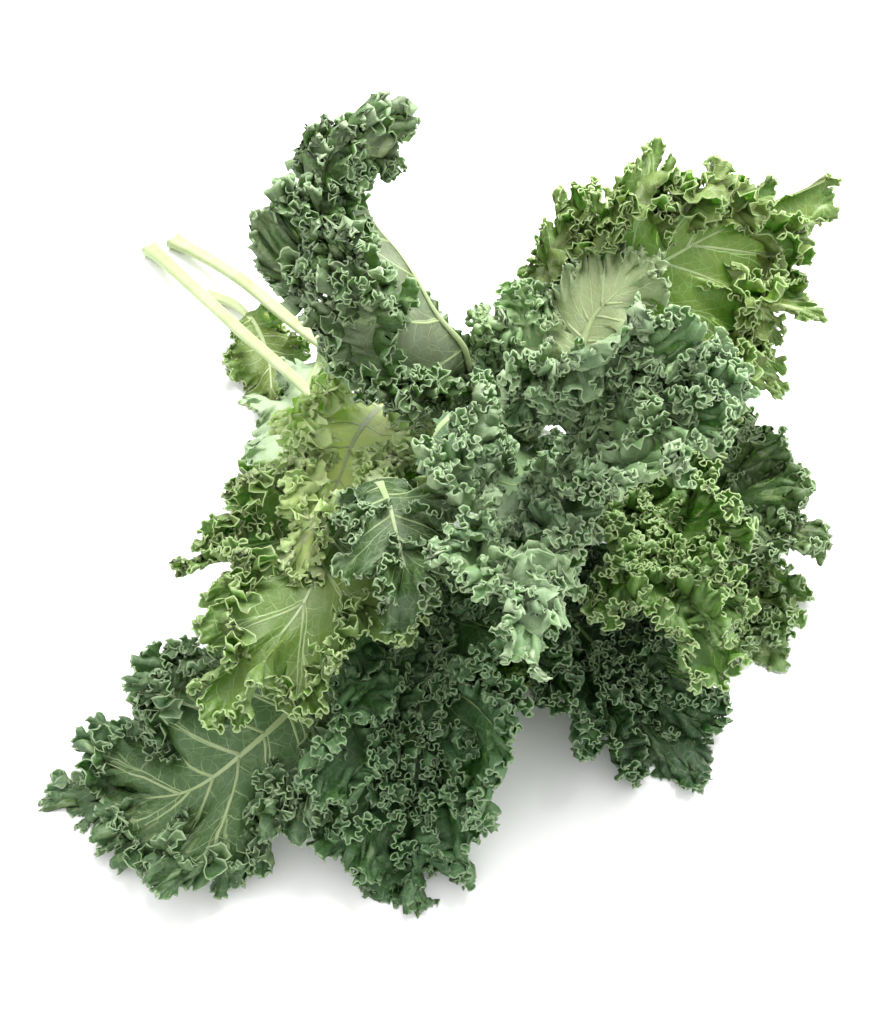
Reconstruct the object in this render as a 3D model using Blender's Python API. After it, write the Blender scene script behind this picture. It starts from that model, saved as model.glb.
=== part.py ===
"""Bunch of curly kale lying on its side: one ruffled sheet and one pale stalk to each leaf."""

import bpy
import numpy as np

# All lengths in this file are millimetres until the meshes are written in metres.
MM = 0.001
BLADE_THICKNESS = 1.0
RIB_GAP = 0.7
FLOOR_REACH = 3.0
RUFFLE_WAVE = 50.0
RUFFLE_DEPTH = 62.0
STALK_FLARE = 0.42
RIB_SHARE = 0.8
LINE_SAMPLES = 400
WIDE_ROWS = (0.0, 0.35, 0.62, 0.82, 1.0)
WIDE_STEPS = (2, 2, 1, 1, 1)
STALK_COLOUR = (0.45, 0.58, 0.28)
ORIGIN = (-2.06, 41.27)

LEAVES = [
    {
        "name": "c",
        "line": [
            (-174, 240, 9), (-114, 156, 23), (-62, 74, 46), (-43, 24, 65),
            (-42, -16, 71), (-51, -51, 81), (-59, -78, 82), (-70, -96, 81),
        ],
        "face": [
            (0, 0, 1), (0, 0, 1), (0, 0, 1), (0, -0.5, 1),
            (0, -0.5, 1), (0, -0.5, 1), (0, -0.5, 1), (0, -0.5, 1),
        ],
        "start": 0.63,
        "width": 60,
        "wide": (1, 1),
        "heel": 0.4,
        "taper": 0.35,
        "lobes": 4.5,
        "cut": 0.3,
        "slant": 20,
        "fold": (8, 8),
        "curl": (40, 10),
        "ruffle": 9,
        "seed": 12,
        "stalk": 3.6,
        "stations": 9,
        "columns": 56,
        "colour": (0.2, 0.33, 0.06),
    },
    {
        "name": "d",
        "line": [
            (-46, -16, 36), (-52, -64, 42), (-61, -95, 43), (-80, -113, 36),
            (-107, -124, 19), (-128, -122, 9),
        ],
        "face": [(0, -0.2, 1), (0, -0.2, 1)],
        "start": 0.3,
        "width": 70,
        "wide": (0.75, 1),
        "heel": 0.4,
        "taper": 0.35,
        "lobes": 4.5,
        "cut": 0.3,
        "slant": 20,
        "fold": (4, 4),
        "curl": (-12, 40),
        "ruffle": 9,
        "seed": 11,
        "stalk": 3.6,
        "stations": 4,
        "columns": 56,
        "colour": (0.12, 0.22, 0.07),
    },
    {
        "name": "q",
        "line": [(-28, 43, 78), (-40, 4, 93), (-47, -24, 93), (-54, -45, 95)],
        "face": [(0, -0.5, 1), (0, -0.5, 1)],
        "start": 0.15,
        "width": 34,
        "wide": (1, 1),
        "heel": 0.4,
        "taper": 0.35,
        "lobes": 4.5,
        "cut": 0.3,
        "slant": 20,
        "fold": (5, 5),
        "curl": (30, 30),
        "ruffle": 9,
        "seed": 13,
        "stalk": 2.6,
        "stations": 3,
        "columns": 32,
        "colour": (0.2, 0.33, 0.06),
    },
    {
        "name": "k",
        "line": [(-30, -27, 108), (-23, -50, 114), (-19, -66, 111), (-16, -77, 107)],
        "face": [(0.2, -0.5, 1), (0.2, -0.5, 1)],
        "start": 0.12,
        "width": 32,
        "wide": (1, 1),
        "heel": 0.4,
        "taper": 0.35,
        "lobes": 4.5,
        "cut": 0.3,
        "slant": 20,
        "fold": (5, 5),
        "curl": (0, 30),
        "ruffle": 9,
        "seed": 14,
        "stalk": 2.6,
        "stations": 3,
        "columns": 32,
        "colour": (0.12, 0.22, 0.07),
    },
    {
        "name": "j",
        "line": [(-137, 200, 6), (-121, 191, 7), (-106, 170, 8), (-96, 142, 7), (-93, 120, 5)],
        "face": [(0, -0.2, 1), (0, -0.2, 1)],
        "start": 0.35,
        "width": 27,
        "wide": (1, 1),
        "heel": 0.4,
        "taper": 0.35,
        "lobes": 4.5,
        "cut": 0.3,
        "slant": 20,
        "fold": (0, 0),
        "curl": (-5, -5),
        "ruffle": 9,
        "seed": 15,
        "stalk": 2.6,
        "stations": 3,
        "columns": 32,
        "colour": (0.2, 0.33, 0.06),
    },
    {
        "name": "jb",
        "line": [(-63, 149, 12), (-73, 102, 25), (-77, 64, 32), (-80, 41, 32)],
        "face": [(0.2, 0.4, -1), (0.2, 0.4, -1)],
        "start": 0.15,
        "width": 30,
        "wide": (1, 1),
        "heel": 0.4,
        "taper": 0.35,
        "lobes": 4.5,
        "cut": 0.3,
        "slant": 20,
        "fold": (5, 5),
        "curl": (10, 10),
        "ruffle": 9,
        "seed": 16,
        "stalk": 2.6,
        "stations": 3,
        "columns": 32,
        "colour": (0.12, 0.22, 0.07),
    },
    {
        "name": "a",
        "line": [
            (-161, 247, 9), (-122, 209, 15), (-78, 148, 29), (-32, 98, 35),
            (-2, 57, 61), (9, 45, 84), (8, 32, 114), (5, 23, 133),
            (-5, 25, 147), (-13, 34, 158), (-21, 47, 162), (-29, 55, 167),
            (-34, 60, 175), (-35, 66, 182), (-31, 73, 186), (-26, 81, 185),
        ],
        "face": [
            (0, 0, 1), (0, 0, 1), (0, 0, 1), (0, 0, 1),
            (-0.9, 0, -0.1), (-0.9, 0, -0.1), (-0.9, 0, -0.1), (-0.9, 0, -0.1),
            (-0.9, 0, -0.1), (-0.9, 0, -0.1), (-0.9, 0, -0.1), (-0.9, 0, -0.1),
            (-0.9, 0, -0.1), (-0.8, 0, 0.1), (-0.5, 0, 0.6), (-0.1, 0, 1),
        ],
        "start": 0.655,
        "width": 66,
        "wide": (1, 1),
        "heel": 0.2,
        "taper": 0.8,
        "lobes": 4.5,
        "cut": 0.3,
        "slant": 20,
        "fold": (40, 40),
        "curl": (-20, 20),
        "ruffle": 9,
        "seed": 17,
        "stalk": 3.6,
        "stations": 10,
        "columns": 56,
        "colour": (0.12, 0.22, 0.07),
    },
    {
        "name": "b",
        "line": [
            (37, 93, 29), (48, 84, 68), (54, 76, 98), (69, 67, 120),
            (80, 67, 129), (95, 68, 139), (110, 78, 141), (124, 88, 141),
        ],
        "face": [(0, -0.8, 0.6), (0, -0.8, 0.6)],
        "start": 0.28,
        "width": 66,
        "wide": (0.85, 1.42),
        "heel": 0.4,
        "taper": 0.35,
        "lobes": 4.5,
        "cut": 0.3,
        "slant": 20,
        "fold": (5, 5),
        "curl": (10, -10),
        "ruffle": 9,
        "seed": 18,
        "stalk": 3.6,
        "stations": 4,
        "columns": 56,
        "colour": (0.2, 0.33, 0.06),
    },
    {
        "name": "m",
        "line": [(49, 28, 97), (57, 37, 114), (64, 47, 127), (70, 50, 133), (76, 54, 137)],
        "face": [(0.1, 0.5, -1), (0.1, 0.5, -1)],
        "start": 0.25,
        "width": 30,
        "wide": (1, 1),
        "heel": 0.4,
        "taper": 0.35,
        "lobes": 4.5,
        "cut": 0.3,
        "slant": 20,
        "fold": (0, 0),
        "curl": (10, 10),
        "ruffle": 9,
        "seed": 19,
        "stalk": 2.6,
        "stations": 3,
        "columns": 32,
        "colour": (0.12, 0.22, 0.07),
    },
    {
        "name": "o",
        "line": [(58, 45, 79), (54, 47, 98), (41, 43, 109), (29, 44, 108), (20, 51, 101)],
        "face": [(-0.3, -0.7, 0.6), (-0.3, -0.7, 0.6)],
        "start": 0.35,
        "width": 31,
        "wide": (1, 1),
        "heel": 0.4,
        "taper": 0.35,
        "lobes": 4.5,
        "cut": 0.3,
        "slant": 20,
        "fold": (-5, -5),
        "curl": (0, 60),
        "ruffle": 9,
        "seed": 20,
        "stalk": 2.6,
        "stations": 3,
        "columns": 32,
        "colour": (0.06, 0.13, 0.06),
    },
    {
        "name": "n",
        "line": [(47, -4, 109), (56, -24, 141), (67, -33, 158), (78, -32, 161)],
        "face": [(0, -0.7, 0.7), (0, -0.7, 0.7)],
        "start": 0.2,
        "width": 52,
        "wide": (1, 1.1),
        "heel": 0.4,
        "taper": 0.35,
        "lobes": 4.5,
        "cut": 0.3,
        "slant": 20,
        "fold": (10, 10),
        "curl": (90, 100),
        "ruffle": 9,
        "seed": 21,
        "stalk": 3.6,
        "stations": 4,
        "columns": 56,
        "colour": (0.06, 0.13, 0.06),
    },
    {
        "name": "p",
        "line": [(7, 89, 27), (-5, 68, 32), (-15, 25, 43), (-20, -3, 47)],
        "face": [(0, -0.5, 1), (0, -0.5, 1)],
        "start": 0.12,
        "width": 36,
        "wide": (1, 1),
        "heel": 0.4,
        "taper": 0.35,
        "lobes": 4.5,
        "cut": 0.3,
        "slant": 20,
        "fold": (0, 0),
        "curl": (30, 30),
        "ruffle": 9,
        "seed": 22,
        "stalk": 2.6,
        "stations": 3,
        "columns": 32,
        "colour": (0.06, 0.13, 0.06),
    },
    {
        "name": "e",
        "line": [(48, 55, 46), (38, 12, 72), (32, -26, 88), (31, -57, 98), (32, -88, 111)],
        "face": [(0, -0.5, 1), (0, -0.5, 1)],
        "start": 0.15,
        "width": 60,
        "wide": (0.74, 0.95),
        "heel": 0.4,
        "taper": 0.35,
        "lobes": 4.5,
        "cut": 0.3,
        "slant": 20,
        "fold": (10, 10),
        "curl": (100, 100),
        "ruffle": 9,
        "seed": 23,
        "stalk": 3.6,
        "stations": 4,
        "columns": 56,
        "colour": (0.06, 0.13, 0.06),
    },
    {
        "name": "f",
        "line": [(53, 60, 24), (67, 17, 42), (79, -21, 59), (88, -55, 74), (95, -73, 75)],
        "face": [(0.1, -0.4, 1), (0.1, -0.4, 1)],
        "start": 0.15,
        "width": 56,
        "wide": (1, 1),
        "heel": 0.4,
        "taper": 0.35,
        "lobes": 4.5,
        "cut": 0.3,
        "slant": 20,
        "fold": (10, 10),
        "curl": (80, 80),
        "ruffle": 9,
        "seed": 24,
        "stalk": 3.6,
        "stations": 4,
        "columns": 56,
        "colour": (0.12, 0.22, 0.07),
    },
    {
        "name": "h",
        "line": [(65, 69, 22), (96, 55, 17), (117, 32, 25), (131, 14, 35), (141, 7, 36)],
        "face": [(0, -0.2, 1), (0, -0.2, 1)],
        "start": 0.2,
        "width": 56,
        "wide": (1, 1),
        "heel": 0.4,
        "taper": 0.35,
        "lobes": 4.5,
        "cut": 0.3,
        "slant": 20,
        "fold": (10, 10),
        "curl": (80, 80),
        "ruffle": 9,
        "seed": 25,
        "stalk": 3.6,
        "stations": 4,
        "columns": 56,
        "colour": (0.06, 0.13, 0.06),
    },
    {
        "name": "hb",
        "line": [(82, 30, 24), (113, 6, 20), (133, -13, 12), (142, -33, 6)],
        "face": [(0, -0.2, 1), (0, -0.2, 1)],
        "start": 0.3,
        "width": 34,
        "wide": (1, 1),
        "heel": 0.4,
        "taper": 0.35,
        "lobes": 4.5,
        "cut": 0.3,
        "slant": 20,
        "fold": (0, 0),
        "curl": (40, 40),
        "ruffle": 9,
        "seed": 26,
        "stalk": 2.6,
        "stations": 3,
        "columns": 32,
        "colour": (0.06, 0.13, 0.06),
    },
    {
        "name": "g",
        "line": [(19, 18, 25), (38, -16, 25), (58, -43, 22), (74, -62, 15), (83, -74, 7)],
        "face": [(0, -0.2, 1), (0, -0.2, 1)],
        "start": 0.18,
        "width": 68,
        "wide": (1, 1),
        "heel": 0.4,
        "taper": 0.35,
        "lobes": 4.5,
        "cut": 0.3,
        "slant": 20,
        "fold": (10, 10),
        "curl": (80, 80),
        "ruffle": 9,
        "seed": 27,
        "stalk": 3.6,
        "stations": 4,
        "columns": 56,
        "colour": (0.06, 0.13, 0.06),
    },
    {
        "name": "i",
        "line": [(-3, 15, 39), (-5, -46, 52), (-9, -80, 41), (-13, -113, 30), (-16, -135, 12)],
        "face": [(0, -0.2, 1), (0, -0.2, 1)],
        "start": 0.2,
        "width": 67,
        "wide": (1, 1),
        "heel": 0.4,
        "taper": 0.35,
        "lobes": 4.5,
        "cut": 0.3,
        "slant": 20,
        "fold": (10, 10),
        "curl": (90, 90),
        "ruffle": 9,
        "seed": 28,
        "stalk": 3.6,
        "stations": 4,
        "columns": 56,
        "colour": (0.06, 0.13, 0.06),
    },
    {
        "name": "ib",
        "line": [(15, 23, 17), (23, -7, 5), (25, -25, 5), (24, -50, 4)],
        "face": [(0, -0.2, 1), (0, -0.2, 1)],
        "start": 0.2,
        "width": 40,
        "wide": (1, 1),
        "heel": 0.4,
        "taper": 0.35,
        "lobes": 4.5,
        "cut": 0.3,
        "slant": 20,
        "fold": (0, 0),
        "curl": (60, 60),
        "ruffle": 9,
        "seed": 29,
        "stalk": 2.6,
        "stations": 3,
        "columns": 32,
        "colour": (0.12, 0.22, 0.07),
    },
]


def smooth(low, high, x):
    """S-shaped rise from 0 at low to 1 at high"""
    u = np.clip((x - low) / (high - low), 0.0, 1.0)
    return u * u * (3.0 - 2.0 * u)


def unit(v):
    """vectors divided by their length"""
    return v / np.maximum(np.linalg.norm(v, axis=-1, keepdims=True), 1e-12)


def through(points, at):
    """Cubic curve through points; at = shares of the way along their chords"""
    p = np.array(points, float)
    chord = np.r_[0.0, np.cumsum(np.linalg.norm(np.diff(p, axis=0), axis=1))]
    slope = np.gradient(p, chord, axis=0)
    x = np.asarray(at) * chord[-1]
    i = np.clip(np.searchsorted(chord, x, side="right") - 1, 0, len(p) - 2)
    h = (chord[i + 1] - chord[i])[:, None]
    u = (x - chord[i])[:, None] / h
    return (
        (2 * u**3 - 3 * u**2 + 1) * p[i]
        + (u**3 - 2 * u**2 + u) * h * slope[i]
        + (3 * u**2 - 2 * u**3) * p[i + 1]
        + (u**3 - u**2) * h * slope[i + 1]
    )


class Midrib:
    """line of a stalk and its midrib, with the direction the upper face looks at each point"""

    def __init__(self, points, faces):
        dense = through(points, np.linspace(0, 1, LINE_SAMPLES))
        away = run(dense)
        self.length = away[-1]
        self.y = np.linspace(0, self.length, LINE_SAMPLES)
        self.p = np.stack([np.interp(self.y, away, dense[:, k]) for k in range(3)], 1)
        self.t = unit(np.gradient(self.p, self.y, axis=0))
        faces = unit(np.array(faces, float))
        knots = run(np.array(points, float)) if len(faces) == len(points) else np.arange(len(faces))
        knots = knots / knots[-1]
        n = np.stack([np.interp(self.y / self.length, knots, faces[:, k]) for k in range(3)], 1)
        n = unit(n - (n * self.t).sum(1, keepdims=True) * self.t)
        for _ in range(6):
            m = n.copy()
            m[1:-1] = n[:-2] + n[1:-1] * 2 + n[2:]
            n = unit(m - (m * self.t).sum(1, keepdims=True) * self.t)
        self.n = n

    def frame(self, y):
        """point, forward, up and across at distance y; straight on past both ends"""
        inside = np.clip(y, 0, self.length)
        p, t, n = (
            np.stack([np.interp(inside, self.y, a[:, k]) for k in range(3)], -1)
            for a in (self.p, self.t, self.n)
        )
        t = unit(t)
        n = unit(n - (n * t).sum(-1, keepdims=True) * t)
        return p + t * (y - inside)[..., None], t, n, np.cross(t, n)


def run(points):
    """length so far along a line of points"""
    return np.r_[0.0, np.cumsum(np.linalg.norm(np.diff(points, axis=0), axis=1))]


def outline(leaf, s):
    """vein length at share s of the blade: narrow heel, full middle, tapered tip, lobed"""
    heel, taper, cut, lobes = leaf["heel"], leaf["taper"], leaf["cut"], leaf["lobes"]
    w = leaf["width"] * (heel + (1 - heel) * smooth(0.0, 0.45, s))
    w = w * (1.0 - taper * smooth(0.55, 1.0, s))
    wave = np.abs(np.sin(np.pi * (lobes * s + 0.5 - lobes % 1.0)))
    return w * (1.0 - cut * (1.0 - wave**0.7))


def vein_angle(leaf, s):
    """forward lean of a side vein, straight ahead at the tip"""
    first = np.radians(leaf["slant"])
    return first + (np.pi / 2 - first) * s**2.6


def edge_length(leaf, rib):
    """shares s with the flat edge's length up to each"""
    s = np.linspace(0, 1, 1200)
    w, a = outline(leaf, s), vein_angle(leaf, s)
    flat = np.stack([w * np.cos(a), s * rib.length * (1 - leaf["start"]) + w * np.sin(a)], 1)
    return s, run(flat)


def section(leaf, side, x):
    """across and up offsets of the folded, curled half-blade at flat distance x"""
    k = (side > 0).astype(int)
    fold = np.radians(np.array(leaf["fold"], float))[k]
    curl = np.radians(np.array(leaf["curl"], float) + 0.001)[k] / leaf["width"]
    return (
        (np.sin(fold + curl * x) - np.sin(fold)) / curl,
        (np.cos(fold) - np.cos(fold + curl * x)) / curl,
    )


def blade_surface(leaf, rib, at, rows):
    """middle surface of a blade with its broad ruffle, columns by rows, and its veins' shares"""
    share, away = edge_length(leaf, rib)
    half = away[-1]
    g = at * 2 * half
    side = np.sign(np.round(g - half, 6))
    s = np.interp(half - np.abs(g - half), away, share)
    w = outline(leaf, s) * np.where(side > 0, leaf["wide"][1], leaf["wide"][0])
    a = vein_angle(leaf, s)
    t = np.asarray(rows)
    x = (w * np.cos(a))[:, None] * t
    root = rib.length * (leaf["start"] + s * (1 - leaf["start"]))
    y = root[:, None] + (w * np.sin(a))[:, None] * t
    p, _, up, across = rib.frame(y)
    sx, sz = section(leaf, np.broadcast_to(side[:, None], x.shape), x)
    p = p + across * (np.where(side == 0, 1, side)[:, None] * sx)[..., None] + up * sz[..., None]
    draw = np.random.default_rng(leaf["seed"])
    phase = draw.uniform(0, 2 * np.pi, (4, 3))
    drift = draw.uniform(-2.5, 2.5, 3)
    n = unit(np.cross(np.gradient(p, axis=0), np.gradient(p, axis=1)))
    n[:, 0] = up[:, 0]
    fade = np.clip(1 - w[:, None] * (1 - t) / RUFFLE_DEPTH, 0, 1) ** 1.6
    ends = (smooth(0.0, 0.02, at) * smooth(0.0, 0.02, 1 - at))[:, None]
    size = leaf["ruffle"] * fade * smooth(3.0, 20.0, w[:, None] * t) * (0.35 + 0.65 * ends)
    turns = 2 * np.pi / RUFFLE_WAVE * np.array([0.72, 1.0, 1.37])
    arg = turns[None, None, :] * g[:, None, None] + drift * t[None, :, None]
    p = p + n * (size * (np.sin(arg + phase[0]) * [0.55, 0.75, 0.5]).sum(-1))[..., None]
    return p, s, up[:, 0]


def rest(p, low):
    """heights eased so nothing sinks below low"""
    q = p.copy()
    z = p[..., 2]
    eased = low + FLOOR_REACH * np.exp(np.minimum((z - low) / FLOOR_REACH - 1, 0))
    q[..., 2] = np.where(z < low + FLOOR_REACH, eased, z)
    return q


def shell(p, up_root, steps, half):
    """closed sheet of two faces either side of p; both faces are cut into triangles alike"""
    columns, depth = p.shape[:2]
    middle = (columns - 1) // 2
    n = unit(np.cross(np.gradient(p, axis=0), np.gradient(p, axis=1)))
    n[:, 0] = up_root
    ids, cols, rws, made = [], [], [], 0
    for r in range(depth):
        idx = np.full(columns, -1)
        c = np.arange(0, (middle if r == 0 else columns - 1) + 1, steps[r])
        idx[c] = made + np.arange(len(c))
        if r == 0:
            idx[columns - 1 - c] = idx[c]
        ids.append(idx)
        cols.append(c)
        rws.append(np.full(len(c), r))
        made += len(c)
    cols, rws = np.concatenate(cols), np.concatenate(rws)
    tris = []
    for r in range(depth - 1):
        q = steps[r]
        c = np.arange(0, columns - 1, q)
        a0, a1, b0, b1 = ids[r][c], ids[r][c + q], ids[r + 1][c], ids[r + 1][c + q]
        if q == steps[r + 1]:
            tris += [(a0, a1, b1), (a0, b1, b0)]
        else:
            bm = ids[r + 1][c + steps[r + 1]]
            tris += [(a0, bm, b0), (a0, a1, bm), (a1, b1, bm)]
    tris = np.concatenate([np.stack(f, 1) for f in tris])
    c = np.arange(0, columns - 1, steps[-1])
    u0, u1 = ids[-1][c], ids[-1][c + steps[-1]]
    rim = [(u0, u1, u1 + made), (u0, u1 + made, u0 + made)]
    for end, flip in ((0, False), (columns - 1, True)):
        e = np.array([ids[r][end] for r in range(depth)])
        a, b = (e[1:], e[:-1]) if flip else (e[:-1], e[1:])
        rim += [(a, b, b + made), (a, b + made, a + made)]
    rim = np.concatenate([np.stack(f, 1) for f in rim])
    faces = np.concatenate([tris, tris[:, ::-1] + made, rim])
    top = p[cols, rws] + n[cols, rws] * half
    low = p[cols, rws] - n[cols, rws] * half
    verts = np.concatenate([top, low])
    verts[:, 2] = np.maximum(verts[:, 2], 0.0)
    return verts, faces


def stalk_radius(leaf, share):
    """half width of a stalk and midrib at shares of the length"""
    start = leaf["start"]
    r = leaf["stalk"] * (1 - 0.4 * smooth(0.0, start + 0.1, share))
    r = r * (1 - 0.82 * smooth(start, 1.0, share))
    return r + 0.35


def tube(leaf, rib, y, sides, flare):
    """closed stalk of rounded cross-section whose top keeps a gap below the blade"""
    p, _, up, across = rib.frame(y)
    share = y / rib.length
    r = stalk_radius(leaf, share) * (1 + flare * np.exp(-y / 9.0))
    flat = 1 - 0.25 * smooth(leaf["start"] - 0.05, leaf["start"] + 0.1, share)
    drop = BLADE_THICKNESS / 2 + RIB_GAP + r * flat
    angle = (np.arange(sides) + 0.5) * 2 * np.pi / sides
    ring = across[:, None] * (r[:, None] * np.cos(angle))[..., None]
    ring = ring + up[:, None] * ((r * flat)[:, None] * np.sin(angle))[..., None]
    v = p[:, None] - up[:, None] * drop[:, None, None] + ring
    v[..., 2] = np.maximum(v[..., 2], 0.0)
    i = np.arange(len(y) - 1)[:, None] * sides
    j = np.arange(sides)[None]
    k = (j + 1) % sides
    quads = [(i + k, i + j, i + sides + j), (i + k, i + sides + j, i + sides + k)]
    faces = [np.stack(np.broadcast_arrays(*f), -1).reshape(-1, 3) for f in quads]
    last = (len(y) - 1) * sides
    fan = np.arange(1, sides - 1)
    faces.append(np.stack([fan * 0, fan, fan + 1], 1))
    faces.append(np.stack([fan * 0 + last, last + fan + 1, last + fan], 1))
    return v.reshape(-1, 3), np.concatenate(faces)


def add_object(name, verts, faces, colour, roughness):
    """mesh object with its own plain material, verts given in millimetres"""
    verts = (verts - np.array([*ORIGIN, 0.0])) * MM
    mesh = bpy.data.meshes.new(name)
    mesh.from_pydata([tuple(v) for v in verts.tolist()], [], faces.tolist())
    mesh.update(calc_edges=True)
    mesh.shade_smooth()
    material = bpy.data.materials.new(name)
    material.use_nodes = True
    shader = material.node_tree.nodes["Principled BSDF"]
    shader.inputs["Base Color"].default_value = (*colour, 1.0)
    shader.inputs["Roughness"].default_value = roughness
    mesh.materials.append(material)
    thing = bpy.data.objects.new(name, mesh)
    bpy.context.scene.collection.objects.link(thing)


def build():
    """clear the scene and add a blade and a stalk for each leaf"""
    for thing in list(bpy.data.objects):
        bpy.data.objects.remove(thing, do_unlink=True)
    for leaf in LEAVES:
        rib = Midrib(leaf["line"], leaf["face"])
        count = leaf["columns"]
        at = np.linspace(0, 1, count + 1)
        p, s, up_root = blade_surface(leaf, rib, at, WIDE_ROWS)
        p = rest(p, BLADE_THICKNESS * 0.25)
        verts, faces = shell(p, up_root, WIDE_STEPS, BLADE_THICKNESS / 2)
        add_object("blade_" + leaf["name"], verts, faces, leaf["colour"], 0.5)
        start = rib.length * leaf["start"]
        inside = start + s[: count // 2 + 1 : 2] * (rib.length - start)
        inside = inside[inside < start + RIB_SHARE * (rib.length - start)]
        before = np.linspace(0, start, leaf["stations"] + 1)[:-1]
        verts, faces = tube(leaf, rib, np.r_[before, inside], 6, STALK_FLARE)
        add_object("stalk_" + leaf["name"], verts, faces, STALK_COLOUR, 0.45)


build()
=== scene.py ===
"""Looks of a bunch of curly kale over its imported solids: frilled leaves, stalks with veins, floor and light."""

import math

import bpy
import numpy as np
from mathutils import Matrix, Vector


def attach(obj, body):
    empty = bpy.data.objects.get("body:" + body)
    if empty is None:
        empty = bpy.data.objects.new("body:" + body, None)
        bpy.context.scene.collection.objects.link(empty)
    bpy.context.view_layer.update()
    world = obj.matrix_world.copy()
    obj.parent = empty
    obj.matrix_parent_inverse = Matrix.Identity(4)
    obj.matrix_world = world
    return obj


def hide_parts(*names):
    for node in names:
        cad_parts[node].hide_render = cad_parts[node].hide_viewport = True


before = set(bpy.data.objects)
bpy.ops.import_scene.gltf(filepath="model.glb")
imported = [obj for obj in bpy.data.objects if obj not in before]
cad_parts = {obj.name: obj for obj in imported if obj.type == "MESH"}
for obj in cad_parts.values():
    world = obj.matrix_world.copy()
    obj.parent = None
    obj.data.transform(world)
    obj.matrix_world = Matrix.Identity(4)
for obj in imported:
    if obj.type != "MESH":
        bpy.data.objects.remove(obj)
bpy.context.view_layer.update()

# Leaf sizes and lines are millimetres; meshes are written in metres.
MM = 0.001
LINE_SAMPLES = 400
MARGIN_SAMPLES = 1200
# share of the line that the midrib's rings cover
MIDRIB_REACH = 0.985
BLADE_HALF = 0.22
CREST_HALF = BLADE_HALF * 0.8
# height over the surface that blades ease down to, how they ease, and the lowest that a point may lie
FLOOR_LOW = 0.5
FLOOR_REACH = 3.0
FLOOR_TOUCH = 0.02
RUFFLE_WAVE = 50.0
RUFFLE_DEPTH = 62.0
STALK_SIDES = 12
STALK_FLARE = 0.42
FLARE_LENGTH = 9.0
VEIN_SIDES = 6
VEIN_ROWS = 9
# columns to each side of a vein that give the blade's slope there
VEIN_ASIDE = 24
# thickness of a side vein as a share of the stalk's
VEIN_SHARE = 0.24
# margin lobes along each side, how deep they cut, and the lean of the first side vein in degrees
LOBES = 4.5
CUT = 0.3
SLANT = 20
# columns are spaced by this much of the frilled length and this much of the flat length
BY_FRILL = 0.8
BY_FLAT = 0.2
# the three sines of a ruffle: their shares of its height and their turns for each of its waves
SINE_SHARES = np.array([0.55, 0.75, 0.5])
SINE_BEATS = np.array([0.72, 1.0, 1.37])
# how fast each of them also runs inwards from the margin
CROSSING = np.array([0.45, -0.35, 0.25])
# (wave, height, depth from the margin, fold, shove, power of the fade) of each finer octave of frill
TIGHT = ((9.0, 3.3, 30.0, 1.3, 0.4, 0.9), (4.0, 1.3, 8.0, 1.2, 0.4, 0.9))
OPEN = ((12.0, 3.0, 14.0, 1.2, 0.5, 1.2), (4.4, 1.3, 6.0, 1.2, 0.5, 1.1))
LOOSE = ((10.0, 3.0, 28.0, 1.2, 0.4, 0.9), (4.4, 1.3, 8.0, 1.2, 0.4, 0.9))
CREST_FRILL = ((9.0, 3.5, 14.0, 1.3, 0.4, 0.8), (3.9, 1.3, 8.0, 1.2, 0.4, 0.9))
FLAP_FRILL = ((13.0, 2.8, 14.0, 0.8, 0.4, 0.8), (4.8, 1.1, 6.0, 0.9, 0.4, 0.9))
# rows of a blade from midrib to margin, and every how many columns each one takes; then those of a crest
ROWS = (0, 0.14, 0.28, 0.42, 0.54, 0.65, 0.74, 0.81, 0.87, 0.92, 0.96, 0.985, 1.0)
STEPS = (64, 64, 32, 32, 16, 16, 8, 8, 4, 4, 2, 2, 1)
CREST_ROWS = (0.0, 0.34, 0.64, 0.85, 1.0)
CREST_STEPS = (8, 4, 2, 2, 1)
# samples along a crest's foot, and how far to each side its neighbours are taken for its directions
CREST_SAMPLES = 33
CREST_ASIDE = 0.012
HOOP_SAMPLES = 97
HOOP_ASIDE = 0.05
# spacing of the notches in a hoop, and how deep a crest's foot is sunk into the blade
HOOP_NOTCH = 13.0
CREST_SINK = 0.2
# how far out from the midrib a crest's free edge counts as being, for its skin
CREST_OUT = 40.0
# what is taken off the millimetres in the table below, so that the bunch is centred
ORIGIN = (-2.06, 41.27)
VEIN_PALE = (0.46, 0.58, 0.28)
NET_SHOW = 0.1
LOOK_AT = (0.00206, -0.04127, 0.05)
CAMERA_RISE = math.radians(50)
CAMERA_AWAY = 0.64
SKY_STRENGTH = 1.4
LAMP_PLACE = (0.25, 0.45, 0.95)
LAMP_SIZE = 0.7
LAMP_WATTS = 22.0

# What a leaf's entries mean. line: points that its midrib runs through from the cut end. face: where its upper
# face looks at them, or at its two ends. start: share of the line that is bare stalk. width: longest side
# vein, times wide on each side. heel, taper: how narrow its two ends are. fold, curl: degrees on each side.
# ruffle: height of its broad waves. lobe: spacing, notch, tilt and slit. tooth: spacing and height. crest: how
# many stand on it, their columns and height. hoops: two places round the margin, share of the way out and
# columns of each crest that runs round. edge_tint: what turns its upper green into that of its frill.
USUAL = dict(
    slot="leaf_dark", wide=(1, 1), heel=0.4, taper=0.35, fold=(10, 10), ruffle=9, stalk=3.6,
    # rim: green of the painted highlight along the margins
    rim=(0.34, 0.44, 0.26), vein_show=0.2, bloom=0.15, glow=0.15, columns=3072, rings=36, veins=4,
    crest_root=0.08, crest_face=1, hoops=(), rib_green=1,
)
CURLY = dict(
    USUAL, lobe=(9, 4, 3, 0.8), tooth=(2.4, 0.6), frill=TIGHT, crest_frill=CREST_FRILL,
    edge_tint=(1.05, 1.08, 1.1),
)
FLAT = dict(
    USUAL, lobe=(16, 10, 5, 1.4), tooth=(3.6, 1.8), frill=OPEN, crest_frill=FLAP_FRILL,
    edge_tint=(0.85, 0.93, 1.15),
)
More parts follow.
